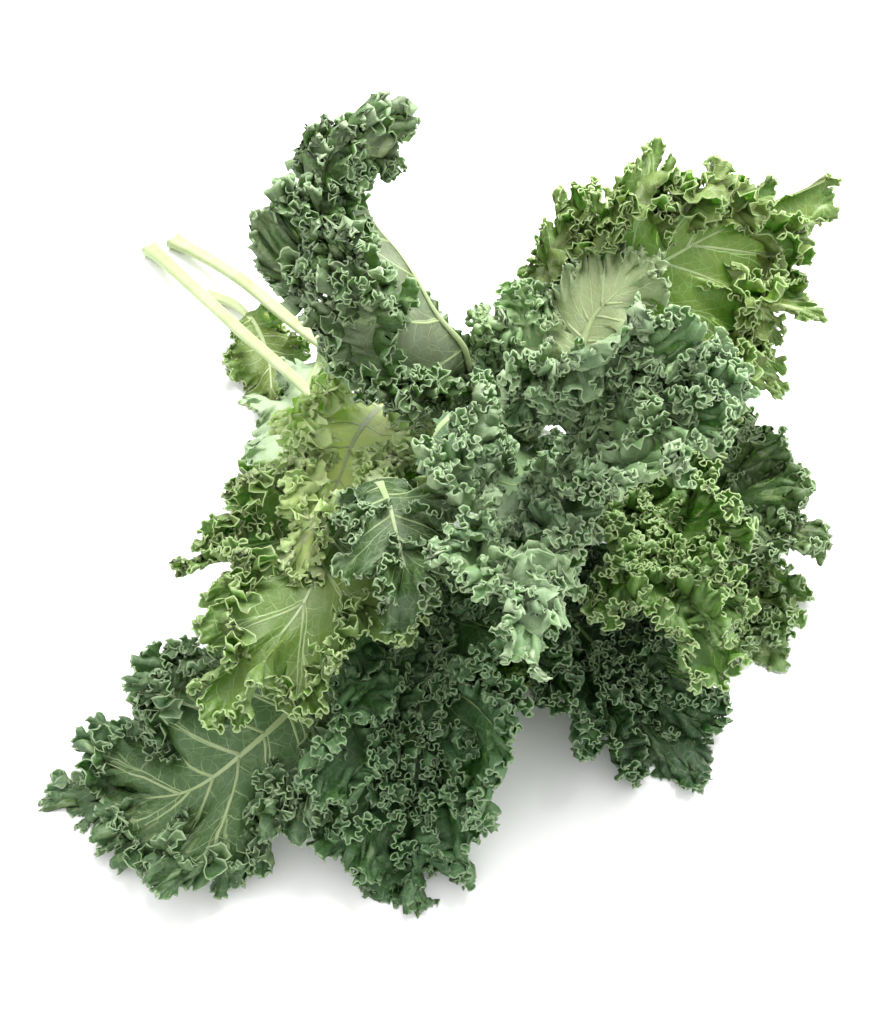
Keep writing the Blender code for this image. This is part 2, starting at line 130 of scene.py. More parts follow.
# upper and lower greens of each leaf are partly its own tone and partly painted light and shade: each pair is set
# to how bright that leaf looks where it lies, darker on leaves in shade and lighter on leaves lifted out of the
# shade of others
LEAVES = [
    dict(
        FLAT, name="c", slot="leaf_bright",
        line=[
            (-174, 240, 9), (-114, 156, 23), (-62, 74, 46), (-43, 24, 65), (-42, -16, 71), (-51, -51, 81),
            (-59, -78, 82), (-70, -96, 81),
        ],
        face=[(0, 0, 1)] * 3 + [(0, -0.5, 1)] * 5, start=0.63, width=60, fold=(8, 8), curl=(40, 10),
        seed=12, crest=(2, 192, 9), crest_root=0.3, crest_frill=CREST_FRILL,
        hoops=[(0.1, 0.46, 0.84, 448), (0.54, 0.9, 0.84, 448)], columns=3584, rings=90, veins=7,
        upper=(0.101, 0.165, 0.023), lower=(0.184, 0.265, 0.086), rim=(0.4, 0.5, 0.24), vein_show=0.6,
        bloom=0.08, glow=0.3, rib_green=0.5,
    ),
    dict(
        FLAT, name="d", slot="leaf_mid",
        line=[
            (-46, -16, 36), (-52, -64, 42), (-61, -95, 43), (-80, -113, 36), (-107, -124, 19),
            (-128, -122, 9),
        ],
        face=[(0, -0.2, 1)] * 2, start=0.3, width=70, wide=(0.75, 1), fold=(4, 4), curl=(-12, 40), seed=11,
        frill=TIGHT, crest=(4, 160, 10), crest_root=0.3, crest_frill=CREST_FRILL,
        hoops=[(0.05, 0.47, 0.8, 640), (0.53, 0.95, 0.8, 640)], columns=3584, veins=7,
        upper=(0.048, 0.105, 0.026), lower=(0.124, 0.191, 0.062), vein_show=0.6, rib_green=0.5,
    ),
    dict(
        FLAT, name="q", slot="leaf_bright",
        line=[(-28, 43, 78), (-40, 4, 93), (-47, -24, 93), (-54, -45, 95)],
        face=[(0, -0.5, 1)] * 2, start=0.04, width=34, heel=0.95, fold=(5, 5), curl=(30, 30), seed=13,
        stalk=2.6, frill=TIGHT, crest=(2, 160, 8), crest_frill=CREST_FRILL,
        # painted light: q's greens are lifted and its midrib kept pale (rib_green) to offset the shade that leaf
        # a casts on it
        hoops=[(0.06, 0.46, 0.8, 320), (0.54, 0.94, 0.8, 320)], columns=2048, upper=(0.447, 0.572, 0.176),
        lower=(0.529, 0.631, 0.33), rim=(0.4, 0.5, 0.24), vein_show=0.5, bloom=0.08, glow=0.3,
        rib_green=0.1,
    ),
    dict(
        FLAT, name="k", slot="leaf_mid",
        line=[(-30, -27, 108), (-23, -50, 114), (-19, -66, 111), (-16, -77, 107)],
        face=[(0.2, -0.5, 1)] * 2, start=0.12, width=32, fold=(5, 5), curl=(0, 30), seed=14, stalk=2.6,
        crest=(4, 128, 6), columns=1280, upper=(0.038, 0.083, 0.012), lower=(0.05, 0.099, 0.021),
        vein_show=0.5, rib_green=0.6,
    ),
    dict(
        FLAT, name="j", slot="leaf_bright",
        line=[(-137, 200, 6), (-121, 191, 7), (-106, 170, 8), (-96, 142, 7), (-93, 120, 5)],
        face=[(0, -0.2, 1)] * 2, start=0.35, width=27, fold=(0, 0), curl=(-5, -5), seed=15, stalk=2.6,
        crest=(0, 128, 8), columns=1280, upper=(0.098, 0.148, 0.013), lower=(0.134, 0.182, 0.031),
        rim=(0.4, 0.5, 0.24), vein_show=0.5, bloom=0.08, glow=0.3, rib_green=0.3,
    ),
    dict(
        FLAT, name="jb", slot="leaf_mid",
        line=[(-63, 149, 12), (-73, 102, 25), (-77, 64, 32), (-80, 41, 32)],
        face=[(0.2, 0.4, -1)] * 2, start=0.15, width=30, fold=(5, 5), curl=(10, 10), seed=16, stalk=2.6,
        crest=(0, 128, 8), columns=1280, upper=(0.264, 0.352, 0.17), lower=(0.33, 0.41, 0.26),
        rib_green=0.3,
    ),
    dict(
        FLAT, name="a", slot="leaf_mid",
        line=[
            (-161, 247, 9), (-122, 209, 15), (-78, 148, 29), (-32, 98, 35), (-2, 57, 61), (9, 45, 84),
            (8, 32, 114), (5, 23, 133), (-5, 25, 147), (-13, 34, 158), (-21, 47, 162), (-29, 55, 167),
            (-34, 60, 175), (-35, 66, 182), (-31, 73, 186), (-26, 81, 185),
        ],
        face=[(0, 0, 1)] * 4 + [(-0.9, 0, -0.1)] * 9 + [(-0.8, 0, 0.1), (-0.5, 0, 0.6), (-0.1, 0, 1)],
        start=0.655, width=66, heel=0.2, taper=0.8, fold=(40, 40), curl=(-20, 20), ruffle=6.5, seed=17,
        lobe=(14, 8, 5, 1.2), tooth=(3.2, 1.2), frill=LOOSE, crest=(14, 192, 12), crest_root=0.5,
        crest_face=-1, crest_frill=CREST_FRILL, hoops=[(0.54, 0.97, 0.56, 704), (0.56, 0.97, 0.8, 832)],
        columns=3584, rings=90, veins=7, upper=(0.044, 0.102, 0.015), lower=(0.122, 0.152, 0.085),
        edge_tint=(1.05, 1.08, 1.1), vein_show=0.5, rib_green=0.5,
    ),
    dict(
        FLAT, name="b", slot="leaf_bright",
        line=[
            (37, 93, 29), (48, 84, 68), (54, 76, 98), (69, 67, 120), (80, 67, 129), (95, 68, 139),
            (110, 78, 141), (124, 88, 141),
        ],
        face=[(0, -0.8, 0.6)] * 2, start=0.28, width=66, wide=(0.85, 1.42), fold=(5, 5), curl=(10, -10),
        seed=18, lobe=(14, 13, 5, 1.3), crest=(12, 160, 12), crest_root=0.3,
        hoops=[
            (0.05, 0.47, 0.82, 448), (0.53, 0.95, 0.82, 448), (0.1, 0.44, 0.58, 320),
            (0.56, 0.9, 0.58, 320),
        ],
        columns=3584, veins=7, upper=(0.109, 0.16, 0.018), lower=(0.182, 0.249, 0.062),
        rim=(0.4, 0.5, 0.24), vein_show=0.5, bloom=0.08, glow=0.3, rib_green=0.5,
    ),
    dict(
        FLAT, name="m", slot="leaf_mid",
        line=[(49, 28, 97), (57, 37, 114), (64, 47, 127), (70, 50, 133), (76, 54, 137)],
        face=[(0.1, 0.5, -1)] * 2, start=0.25, width=30, fold=(0, 0), curl=(10, 10), ruffle=4, seed=19,
        stalk=4.2, crest=(0, 128, 8), columns=1280, upper=(0.188, 0.259, 0.09), lower=(0.288, 0.346, 0.171),
        vein_show=0.9, rib_green=0.1,
    ),
    dict(
        CURLY, name="o", line=[(58, 45, 79), (54, 47, 98), (41, 43, 109), (29, 44, 108), (20, 51, 101)],
        face=[(-0.3, -0.7, 0.6)] * 2, start=0.35, width=31, wide=(1.6, 1), fold=(-5, -5), curl=(0, 60),
        # painted light: o's greens are lifted to offset the shade that falls in its crests
        seed=20, stalk=2.6, crest=(8, 160, 9), columns=1792, upper=(0.18, 0.287, 0.12),
        lower=(0.36, 0.483, 0.252),
    ),
    dict(
        CURLY, name="n", line=[(47, -4, 109), (56, -24, 141), (67, -33, 158), (78, -32, 161)],
        face=[(0, -0.7, 0.7)] * 2, start=0.03, width=52, wide=(1, 1.1), curl=(90, 100), ruffle=6.5, seed=21,
        crest=(9, 256, 12),
        hoops=[
            (0.1, 0.46, 0.3, 448), (0.54, 0.9, 0.3, 448), (0.12, 0.44, 0.62, 384), (0.56, 0.88, 0.62, 384),
        ],
        upper=(0.088, 0.162, 0.062), lower=(0.24, 0.317, 0.163),
    ),
    dict(
        FLAT, name="p", line=[(7, 89, 27), (-5, 68, 32), (-15, 25, 43), (-20, -3, 47)],
        face=[(0, -0.5, 1)] * 2, start=0.02, width=36, fold=(0, 0), curl=(30, 30), seed=22, stalk=2.6,
        crest=(6, 160, 8), columns=1536, upper=(0.036, 0.096, 0.028), lower=(0.149, 0.247, 0.118),
    ),
    dict(
        CURLY, name="e", line=[(48, 55, 46), (38, 12, 72), (32, -26, 88), (31, -57, 98), (32, -88, 111)],
        face=[(0, -0.5, 1)] * 2, start=0.02, width=60, wide=(0.74, 1.15), heel=0.8, curl=(100, 100),
        seed=23, crest=(10, 256, 13),
        hoops=[(0.1, 0.46, 0.3, 512), (0.54, 0.9, 0.6, 384), (0.4, 0.6, 0.45, 320), (0.43, 0.58, 0.72, 192)],
        upper=(0.142, 0.237, 0.112), lower=(0.356, 0.437, 0.278),
    ),
    dict(
        CURLY, name="f", slot="leaf_mid",
        line=[(53, 60, 24), (67, 17, 42), (79, -21, 59), (88, -55, 74), (95, -73, 75)],
        face=[(0.1, -0.4, 1)] * 2, start=0.15, width=56, curl=(80, 80), seed=24, crest=(12, 256, 12),
        hoops=[(0.08, 0.45, 0.2, 512), (0.55, 0.92, 0.2, 512)], upper=(0.076, 0.157, 0.024),
        lower=(0.143, 0.219, 0.078), rim=(0.4, 0.5, 0.24), bloom=0.08,
    ),
    dict(
        CURLY, name="h", line=[(65, 69, 22), (96, 55, 17), (117, 32, 25), (131, 14, 35), (141, 7, 36)],
        face=[(0, -0.2, 1)] * 2, start=0.2, width=56, curl=(80, 80), seed=25, crest=(10, 256, 12),
        upper=(0.05, 0.095, 0.023), lower=(0.136, 0.194, 0.08),
    ),
    dict(
        CURLY, name="hb", line=[(82, 30, 24), (113, 6, 20), (133, -13, 12), (142, -33, 6)],
        face=[(0, -0.2, 1)] * 2, start=0.3, width=34, fold=(0, 0), curl=(40, 40), seed=26, stalk=2.6,
        crest=(8, 160, 9), columns=1792, upper=(0.09, 0.168, 0.032), lower=(0.267, 0.367, 0.123),
    ),
    dict(
        CURLY, name="g", line=[(19, 18, 25), (38, -16, 25), (58, -43, 22), (74, -62, 15), (83, -74, 7)],
        face=[(0, -0.2, 1)] * 2, start=0.18, width=68, curl=(80, 80), seed=27, crest=(12, 256, 13),
        hoops=[(0.06, 0.46, 0.16, 576), (0.54, 0.94, 0.16, 576), (0.08, 0.42, 0.5, 576)],
        # painted shade: g's greens and rim are darkened because this front, lower leaf lies in shade
        upper=(0.009, 0.044, 0.005), lower=(0.035, 0.109, 0.017), rim=(0.25, 0.34, 0.19),
    ),
    dict(
        CURLY, name="i",
        line=[(-3, 15, 39), (-5, -46, 52), (-9, -80, 41), (-13, -113, 30), (-16, -135, 12)],
        face=[(0, -0.2, 1)] * 2, start=0.2, width=67, curl=(90, 90), seed=28, crest=(12, 256, 13),
        hoops=[(0.06, 0.46, 0.16, 576), (0.54, 0.94, 0.16, 576), (0.58, 0.92, 0.5, 576)],
        # painted shade: i's greens and rim are darkened because this front, lower leaf lies in shade
        upper=(0.03, 0.089, 0.023), lower=(0.109, 0.219, 0.083), rim=(0.25, 0.34, 0.19),
    ),
    dict(
        CURLY, name="ib", slot="leaf_mid", line=[(15, 23, 17), (23, -7, 5), (25, -25, 5), (24, -50, 4)],
        face=[(0, -0.2, 1)] * 2, start=0.2, width=40, fold=(0, 0), curl=(60, 60), seed=29, stalk=2.6,
        crest=(8, 160, 10), columns=1792, upper=(0.057, 0.172, 0.003), lower=(0.111, 0.258, 0.013),
        rim=(0.4, 0.5, 0.24), bloom=0.08,
    ),
]


def smooth(low, high, x):
    """S-shaped rise from 0 at low to 1 at high: u squared times (3 - 2u)"""
    u = np.clip((x - low) / (high - low), 0.0, 1.0)
    return u * u * (3.0 - 2.0 * u)


def unit(v):
    """vectors divided by their length"""
    return v / np.maximum(np.linalg.norm(v, axis=-1, keepdims=True), 1e-12)


def run(points):
    """length so far along a line of points"""
    return np.r_[0.0, np.cumsum(np.linalg.norm(np.diff(points, axis=0), axis=1))]


def through(points, at):
    """cubic Hermite curve through points; slopes are central differences over the chord length"""
    p = np.array(points, float)
    chord = run(p)
    slope = np.gradient(p, chord, axis=0)
    x = np.asarray(at) * chord[-1]
    i = np.clip(np.searchsorted(chord, x, side="right") - 1, 0, len(p) - 2)
    h = (chord[i + 1] - chord[i])[:, None]
    u = (x - chord[i])[:, None] / h
    return (
        (2 * u**3 - 3 * u**2 + 1) * p[i]
        + (u**3 - 2 * u**2 + u) * h * slope[i]
        + (3 * u**2 - 2 * u**3) * p[i + 1]
        + (u**3 - u**2) * h * slope[i + 1]
    )


class Midrib:
    """line of a stalk and its midrib, with the direction that the upper face looks at each point"""

    def __init__(self, points, faces):
        """even samples of the curve, and its faces turned square to it and evened out along it"""
        dense = through(points, np.linspace(0, 1, LINE_SAMPLES))
        away = run(dense)
        self.length = away[-1]
        self.y = np.linspace(0, self.length, LINE_SAMPLES)
        self.p = np.stack([np.interp(self.y, away, dense[:, k]) for k in range(3)], 1)
        self.t = unit(np.gradient(self.p, self.y, axis=0))
        faces = unit(np.array(faces, float))
        knots = run(np.array(points, float)) if len(faces) == len(points) else np.arange(len(faces))
        knots = knots / knots[-1]
        n = np.stack([np.interp(self.y / self.length, knots, faces[:, k]) for k in range(3)], 1)
        n = unit(n - (n * self.t).sum(1, keepdims=True) * self.t)
        for _ in range(6):
            m = n.copy()
            m[1:-1] = n[:-2] + n[1:-1] * 2 + n[2:]
            n = unit(m - (m * self.t).sum(1, keepdims=True) * self.t)
        self.n = n

    def frame(self, y):
        """point, forward, up and across at distance y; straight on past both ends"""
        inside = np.clip(y, 0, self.length)
        p, t, n = (
            np.stack([np.interp(inside, self.y, a[:, k]) for k in range(3)], -1)
            for a in (self.p, self.t, self.n)
        )
        t = unit(t)
        n = unit(n - (n * t).sum(-1, keepdims=True) * t)
        return p + t * (y - inside)[..., None], t, n, np.cross(t, n)


def outline(leaf, s):
    """vein length at share s of the blade: narrow heel, full middle, tapered tip, times |sin| lobes"""
    heel, taper = leaf["heel"], leaf["taper"]
    w = leaf["width"] * (heel + (1 - heel) * smooth(0.0, 0.45, s))
    w = w * (1.0 - taper * smooth(0.55, 1.0, s))
    wave = np.abs(np.sin(np.pi * (LOBES * s + 0.5 - LOBES % 1.0)))
    return w * (1.0 - CUT * (1.0 - wave**0.7))


def vein_angle(s):
    """forward lean of a side vein, rising as share to the power 2.6 to straight ahead at the tip"""
    first = np.radians(SLANT)
    return first + (np.pi / 2 - first) * s**2.6


def edge_length(leaf, rib):
    """shares of the blade with the flat margin's length up to each"""
    s = np.linspace(0, 1, MARGIN_SAMPLES)
    w, a = outline(leaf, s), vein_angle(s)
    flat = np.stack([w * np.cos(a), s * rib.length * (1 - leaf["start"]) + w * np.sin(a)], 1)
    return s, run(flat)


def section(leaf, side, x):
    """across and up offsets of a half-blade at flat distance x: an arc that starts at the fold angle"""
    k = (side > 0).astype(int)
    fold = np.radians(np.array(leaf["fold"], float))[k]
    curl = np.radians(np.array(leaf["curl"], float) + 0.001)[k] / leaf["width"]
    return (
        (np.sin(fold + curl * x) - np.sin(fold)) / curl,
        (np.cos(fold) - np.cos(fold + curl * x)) / curl,
    )


def lobe_shape(leaf, g, total):
    """Rounded lobes of random width round the margin: the depth of the notch between them, and how each lobe
    tilts as a line across it and cups as a parabola, both at flat margin distance g."""
    spacing, notch, tilt, slit = leaf["lobe"]
    draw = np.random.default_rng(leaf["seed"] + 100)
    edges = np.cumsum(draw.uniform(0.6, 1.4, max(int(total / spacing), 2)))
    edges = np.r_[0.0, edges / edges[-1] * total]
    k = np.clip(np.searchsorted(edges, g, side="right") - 1, 0, len(edges) - 2)
    wide = edges[k + 1] - edges[k]
    u = (g - edges[k]) / wide * 2 - 1
    lean, cup, lift = draw.uniform(-1, 1, (3, len(edges) - 1))
    deep = notch * draw.uniform(0.55, 1.0, len(edges))
    from_edge = (1 - np.abs(u)) * wide / 2
    cut = np.where(u < 0, deep[k], deep[k + 1]) * np.exp(-((from_edge / slit) ** 1.3))
    cut = cut + 0.12 * notch * u**4
    bend = tilt * (lean[k] * u + cup[k] * (u * u - 0.4) + 0.5 * lift[k])
    return cut, bend


def frill(p, waves, draw, at, t, inward, near, first=None, plan=None):
    """Ruffles a grid of points, octave after octave. Each octave lifts points along the normal by a sum of
    three sines of the distance along the last row, draws them along the margin against the product of that sum
    and its slope, which rounds the waves and folds their walls over like a meander, and shoves them in and out.
    It is measured along the margin that the octaves before it made, or as plan gives it. Heights fade with
    inward, the distance from the margin, to a power, and are scaled by near."""
    made = []
    for k, (wave, height, depth, fold, shove, power) in enumerate(waves):
        if plan is not None:
            along = np.interp(at, plan[0], plan[k + 1])
        else:
            along = first if k == 0 and first is not None else run(p[:, -1])
        made.append(along)
        turns = 2 * np.pi / wave * SINE_BEATS
        phase = draw.uniform(0, 2 * np.pi, (4, 3))
        drift = draw.uniform(-2.5, 2.5, 3)
        n = unit(np.cross(np.gradient(p, axis=0), np.gradient(p, axis=1)))
        n[:, 0] = n[:, 1]
        size = np.clip(1 - inward / depth, 0, 1) ** power * near
        arg = turns * along[:, None, None] + drift * t[None, :, None]
        if k > 0 or first is None:
            arg = arg + (inward[..., None] * turns) * CROSSING
        lift = (np.sin(arg + phase[0]) * SINE_SHARES).sum(-1)
        move = n * (size * height * lift)[..., None]
        if fold or shove:
            tang = unit(np.gradient(p, axis=0))
            out = unit(np.gradient(p, axis=1))
            slope = (np.cos(arg + phase[0]) * SINE_SHARES * SINE_BEATS).sum(-1)
            lean = 0.12 * height * (np.sin(arg * 0.8 + phase[2]) * SINE_SHARES).sum(-1)
            lean = lean - fold * wave / 6.28 * lift * slope
            push = shove * height * (np.sin(arg * 0.6 + phase[1]) * SINE_SHARES).sum(-1)
            move = move + tang * (size * lean)[..., None] + out * (size * push)[..., None]
        p = p + move
    return p, [at] + made + [run(p[:, -1])]


def teeth(p, along, inward, wave, height):
    """outermost points moved outwards in pointed teeth: a triangle wave of the margin's length, to power 1.5"""
    beat = along / wave + 0.35 * np.sin(along * 0.31) + 0.3 * np.sin(along * 0.83 + 2)
    tooth = height * (1 - np.abs(2 * (beat % 1.0) - 1)) ** 1.5 * (0.6 + 0.4 * np.sin(along * 0.47))
    size = tooth[:, None] * np.clip(1 - inward / 2.2, 0, 1)
    return p + unit(np.gradient(p, axis=1)) * size[..., None]


def fan(leaf, rib, at, rows):
    """Broad form of a blade, with at the place round the margin, 0 to 1, and rows the share of the way out.
    A fan of side veins from the midrib, the last few spread apart into a blunt tip, is folded and curled into
    an arc. Its margin is notched into lobes that tilt and cup, and it is pushed along its normal by one broad
    sum of three sines of the flat margin's length."""
    share, away = edge_length(leaf, rib)
    half = away[-1]
    g = at * 2 * half
    side = np.sign(np.round(g - half, 6))
    s = np.interp(half - np.abs(g - half), away, share)
    full = outline(leaf, s) * np.where(side > 0, leaf["wide"][1], leaf["wide"][0])
    cut, bend = lobe_shape(leaf, g, 2 * half)
    w = np.maximum(full - cut * smooth(10.0, 30.0, full), 2.0)
    a = vein_angle(s)
    t = np.asarray(rows)
    spread = np.maximum(np.cos(a), 0.3 * smooth(0.0, 0.04, 1 - s))
    x = (w * spread)[:, None] * t
    root = rib.length * (leaf["start"] + s * (1 - leaf["start"]))
    y = root[:, None] + (w * np.sin(a))[:, None] * t
    p, _, up, across = rib.frame(y)
    sx, sz = section(leaf, np.broadcast_to(side[:, None], x.shape), x)
    p = p + across * (np.where(side == 0, 1, side)[:, None] * sx)[..., None] + up * sz[..., None]
    inward = full[:, None] - w[:, None] * t
    ends = 0.35 + 0.65 * (smooth(0.0, 0.02, at) * smooth(0.0, 0.02, 1 - at))[:, None]
    draw = np.random.default_rng(leaf["seed"])
    n = unit(np.cross(np.gradient(p, axis=0), np.gradient(p, axis=1)))
    n[:, 0] = up[:, 0]
    broad = ((RUFFLE_WAVE, leaf["ruffle"], RUFFLE_DEPTH, 0.0, 0.0, 1.6),)
    near = smooth(3.0, 20.0, w[:, None] * t) * ends
    p, _ = frill(p, broad, draw, at, t, inward, near, g)
    loose = np.clip(1 - inward / (leaf["lobe"][1] * 1.6), 0, 1) * ends
    p = p + n * (bend[:, None] * loose)[..., None]
    return p, s, w, up[:, 0], inward, ends, draw


def frilled(leaf, rib, at, rows, plan=None):
    """the fan with its finer octaves of frill and, once the margin's length is planned, its teeth"""
    p, s, w, up, inward, ends, draw = fan(leaf, rib, at, rows)
    t = np.asarray(rows)
    near = smooth(1.5, 11.0, w[:, None] * t) * ends
    p, made = frill(p, leaf["frill"], draw, at, t, inward, near, None, plan)
    if plan is not None:
        along = np.interp(at, plan[0], plan[-1])
        p = teeth(p, along, inward, leaf["tooth"][0], leaf["tooth"][1] * ends[:, 0])
    return p, s, w, up, made


def crest_paths(leaf):
    """Where each crest runs: radial ones from near the midrib to the margin, on the two halves in turn and
    spaced to the power 0.8, then the leaf's own hoops, which keep to one share of the way out. Each is start
    and end places round the margin, start and end shares of the way out, and columns."""
    total, columns, _ = leaf["crest"]
    draw = np.random.default_rng(leaf["seed"] * 7)
    paths = []
    for number in range(total):
        middle = 0.5 * ((number // 2 + 0.75) / (total // 2 + 0.6)) ** 0.8
        middle = 1 - middle if number % 2 else middle
        root = leaf["crest_root"] + draw.uniform(-0.05, 0.06)
        paths.append((middle, middle, root, draw.uniform(0.86, 0.98), columns))
    return paths + [(a, b, row, row, columns) for a, b, row, columns in leaf["hoops"]]


def crest_line(leaf, rib, path):
    """points of a crest's foot on the blade with the directions off its face and across the line"""
    first, last, low, high, _ = path
    if first == last:
        beside = first + np.array([-CREST_ASIDE, 0.0, CREST_ASIDE])
        p, *_ = fan(leaf, rib, beside, np.linspace(low, high, CREST_SAMPLES))
        line, tang, out = p[1], unit(p[2] - p[0]), unit(np.gradient(p[1], axis=0))
    else:
        beside = low + np.array([-HOOP_ASIDE, 0.0, HOOP_ASIDE])
        p, *_ = fan(leaf, rib, np.linspace(first, last, HOOP_SAMPLES), beside)
        line, tang, out = p[:, 1], unit(np.gradient(p[:, 1], axis=0)), unit(p[:, 2] - p[:, 0])
    n = unit(np.cross(tang, out)) * leaf["crest_face"]
    return np.linspace(0, 1, len(line)), line, n, np.cross(out if first == last else tang, n)


def mixed_length(at, along):
    """share of the length along a margin, mostly by its frilled length and a little by its flat one"""
    return along / along[-1] * BY_FRILL + at * BY_FLAT


def loose_part(at, v):
    """how freely a crest ruffles at each point: an S from its foot, held at both of its ends"""
    return smooth(0.0, 0.5, v)[None, :] * smooth(0.0, 0.06, at)[:, None] * smooth(1.0, 0.94, at)[:, None]


def crest(leaf, rib, number, path):
    """Frilled flank of a cut between two lobes: a ribbon that stands up from the blade along a crest line,
    ruffled along its free edge. Its height rises outwards as an S, or along a hoop swings as a sine squared,
    and its lean and its foot swing as sines."""
    draw = np.random.default_rng(leaf["seed"] * 50 + number)
    knots, line, n, b = crest_line(leaf, rib, path)
    first, last, _, _, count = path
    flat_at = np.linspace(0, 1, count + 1)
    at = flat_at
    v = np.array(CREST_ROWS)
    notches = np.abs(np.sin(at * run(line)[-1] / HOOP_NOTCH * np.pi / 2 + 1.3 * np.sin(at * 17.0)))
    rise = smooth(0.0, 0.5, at) if first == last else 0.5 + 0.5 * notches**2
    height = leaf["crest"][2] * (0.45 + 0.55 * rise) * smooth(-0.06, 0.12, at) * smooth(1.06, 0.8, at)
    lean = draw.uniform(-0.5, 0.5) + 0.5 * np.sin(at * draw.uniform(4, 7) + draw.uniform(0, 6))
    swing = draw.uniform(1.5, 3.0) * np.sin(at * draw.uniform(6, 9) + draw.uniform(0, 6))

    def ribbon(at):
        """points of the plain ribbon, and how far each is from its free edge"""
        base, up, across = (
            np.stack([np.interp(at, knots, m[:, k]) for k in range(3)], 1) for m in (line, n, b)
        )
        h, turn, shift = (np.interp(at, flat_at, m) for m in (height, lean, swing))
        stand = unit(up * np.cos(turn)[:, None] + across * np.sin(turn)[:, None])
        foot = base + across * shift[:, None] - up * CREST_SINK
        return foot[:, None] + stand[:, None] * (h[:, None] * v)[..., None], h[:, None] * (1 - v)

    seed = leaf["seed"] * 50 + number + 7
    plan = None
    for _ in range(2):
        p, inward = ribbon(at)
        near = loose_part(at, v)
        p, made = frill(p, leaf["crest_frill"], np.random.default_rng(seed), at, v, inward, near, None, plan)
        if plan is None:
            plan = made
            at = np.interp(flat_at, mixed_length(flat_at, plan[-1]), flat_at)
    along = np.interp(at, plan[0], plan[-1])
    return teeth(p, along, inward, leaf["tooth"][0], leaf["tooth"][1] * near[:, -1]), inward


def even_columns(at, along):
    """places round the margin evenly spaced by mixed length, with one of them right at the tip"""
    middle = (len(at) - 1) // 2
    mixed = mixed_length(at, along)
    left = np.interp(np.linspace(0, mixed[middle], middle + 1), mixed, at)
    right = np.interp(np.linspace(mixed[middle], 1, middle + 1), mixed, at)
    left[-1] = 0.5
    return np.r_[left, right[1:]]


def rest(p, low):
    """heights eased by an exponential so nothing sinks below low"""
    q = p.copy()
    z = p[..., 2]
    eased = low + FLOOR_REACH * np.exp(np.minimum((z - low) / FLOOR_REACH - 1, 0))
    q[..., 2] = np.where(z < low + FLOOR_REACH, eased, z)
    return q


def shell(p, up_root, steps, half):
    """closed sheet: the grid moved half along its normals both ways, wound outwards, joined round the rim.
    Row r uses every steps[r]-th column, and a quad splits into three triangles where the step halves. With
    up_root given, the first row is the midrib, shared by both halves; without, it is a foot of its own."""
    columns, depth = p.shape[:2]
    middle = (columns - 1) // 2
    n = unit(np.cross(np.gradient(p, axis=0), np.gradient(p, axis=1)))
    if up_root is not None:
        n[:, 0] = up_root
    ids, cols, rws, made = [], [], [], 0
    for r in range(depth):
        idx = np.full(columns, -1)
        shared = r == 0 and up_root is not None
        c = np.arange(0, (middle if shared else columns - 1) + 1, steps[r])
        idx[c] = made + np.arange(len(c))
        if shared:
            idx[columns - 1 - c] = idx[c]
        ids.append(idx)
        cols.append(c)
        rws.append(np.full(len(c), r))
        made += len(c)
    cols, rws = np.concatenate(cols), np.concatenate(rws)
    tris = []
    for r in range(depth - 1):
        q = steps[r]
        c = np.arange(0, columns - 1, q)
        a0, a1, b0, b1 = ids[r][c], ids[r][c + q], ids[r + 1][c], ids[r + 1][c + q]
        if q == steps[r + 1]:
            tris += [(a0, a1, b1), (a0, b1, b0)]
        else:
            bm = ids[r + 1][c + steps[r + 1]]
            tris += [(a0, bm, b0), (a0, a1, bm), (a1, b1, bm)]
    tris = np.concatenate([np.stack(f, 1) for f in tris])
    c = np.arange(0, columns - 1, steps[-1])
    u0, u1 = ids[-1][c], ids[-1][c + steps[-1]]
    rim = [(u0, u1, u1 + made), (u0, u1 + made, u0 + made)]
    for end, flip in ((0, False), (columns - 1, True)):
        e = np.array([ids[r][end] for r in range(depth)])
        a, b = (e[1:], e[:-1]) if flip else (e[:-1], e[1:])
        rim += [(a, b, b + made), (a, b + made, a + made)]
    if up_root is None:
        c = np.arange(0, columns - 1, steps[0])
        u0, u1 = ids[0][c], ids[0][c + steps[0]]
        rim += [(u1, u0, u0 + made), (u1, u0 + made, u1 + made)]
    rim = np.concatenate([np.stack(f, 1) for f in rim])
    faces = np.concatenate([tris, tris[:, ::-1] + made, rim])
    top = p[cols, rws] + n[cols, rws] * half
    low = p[cols, rws] - n[cols, rws] * half
    return np.concatenate([top, low]), faces, cols, rws


def tube_faces(rings, sides):
    """triangles of a closed tube of rings of points, both ends fanned, wound outwards"""
    i = np.arange(rings - 1)[:, None] * sides
    j = np.arange(sides)[None]
    k = (j + 1) % sides
    quads = [(i + k, i + j, i + sides + j), (i + k, i + sides + j, i + sides + k)]
    faces = [np.stack(np.broadcast_arrays(*f), -1).reshape(-1, 3) for f in quads]
    last = (rings - 1) * sides
    fan = np.arange(1, sides - 1)
    faces.append(np.stack([fan * 0, fan, fan + 1], 1))
    faces.append(np.stack([fan * 0 + last, last + fan + 1, last + fan], 1))
    return np.concatenate(faces)


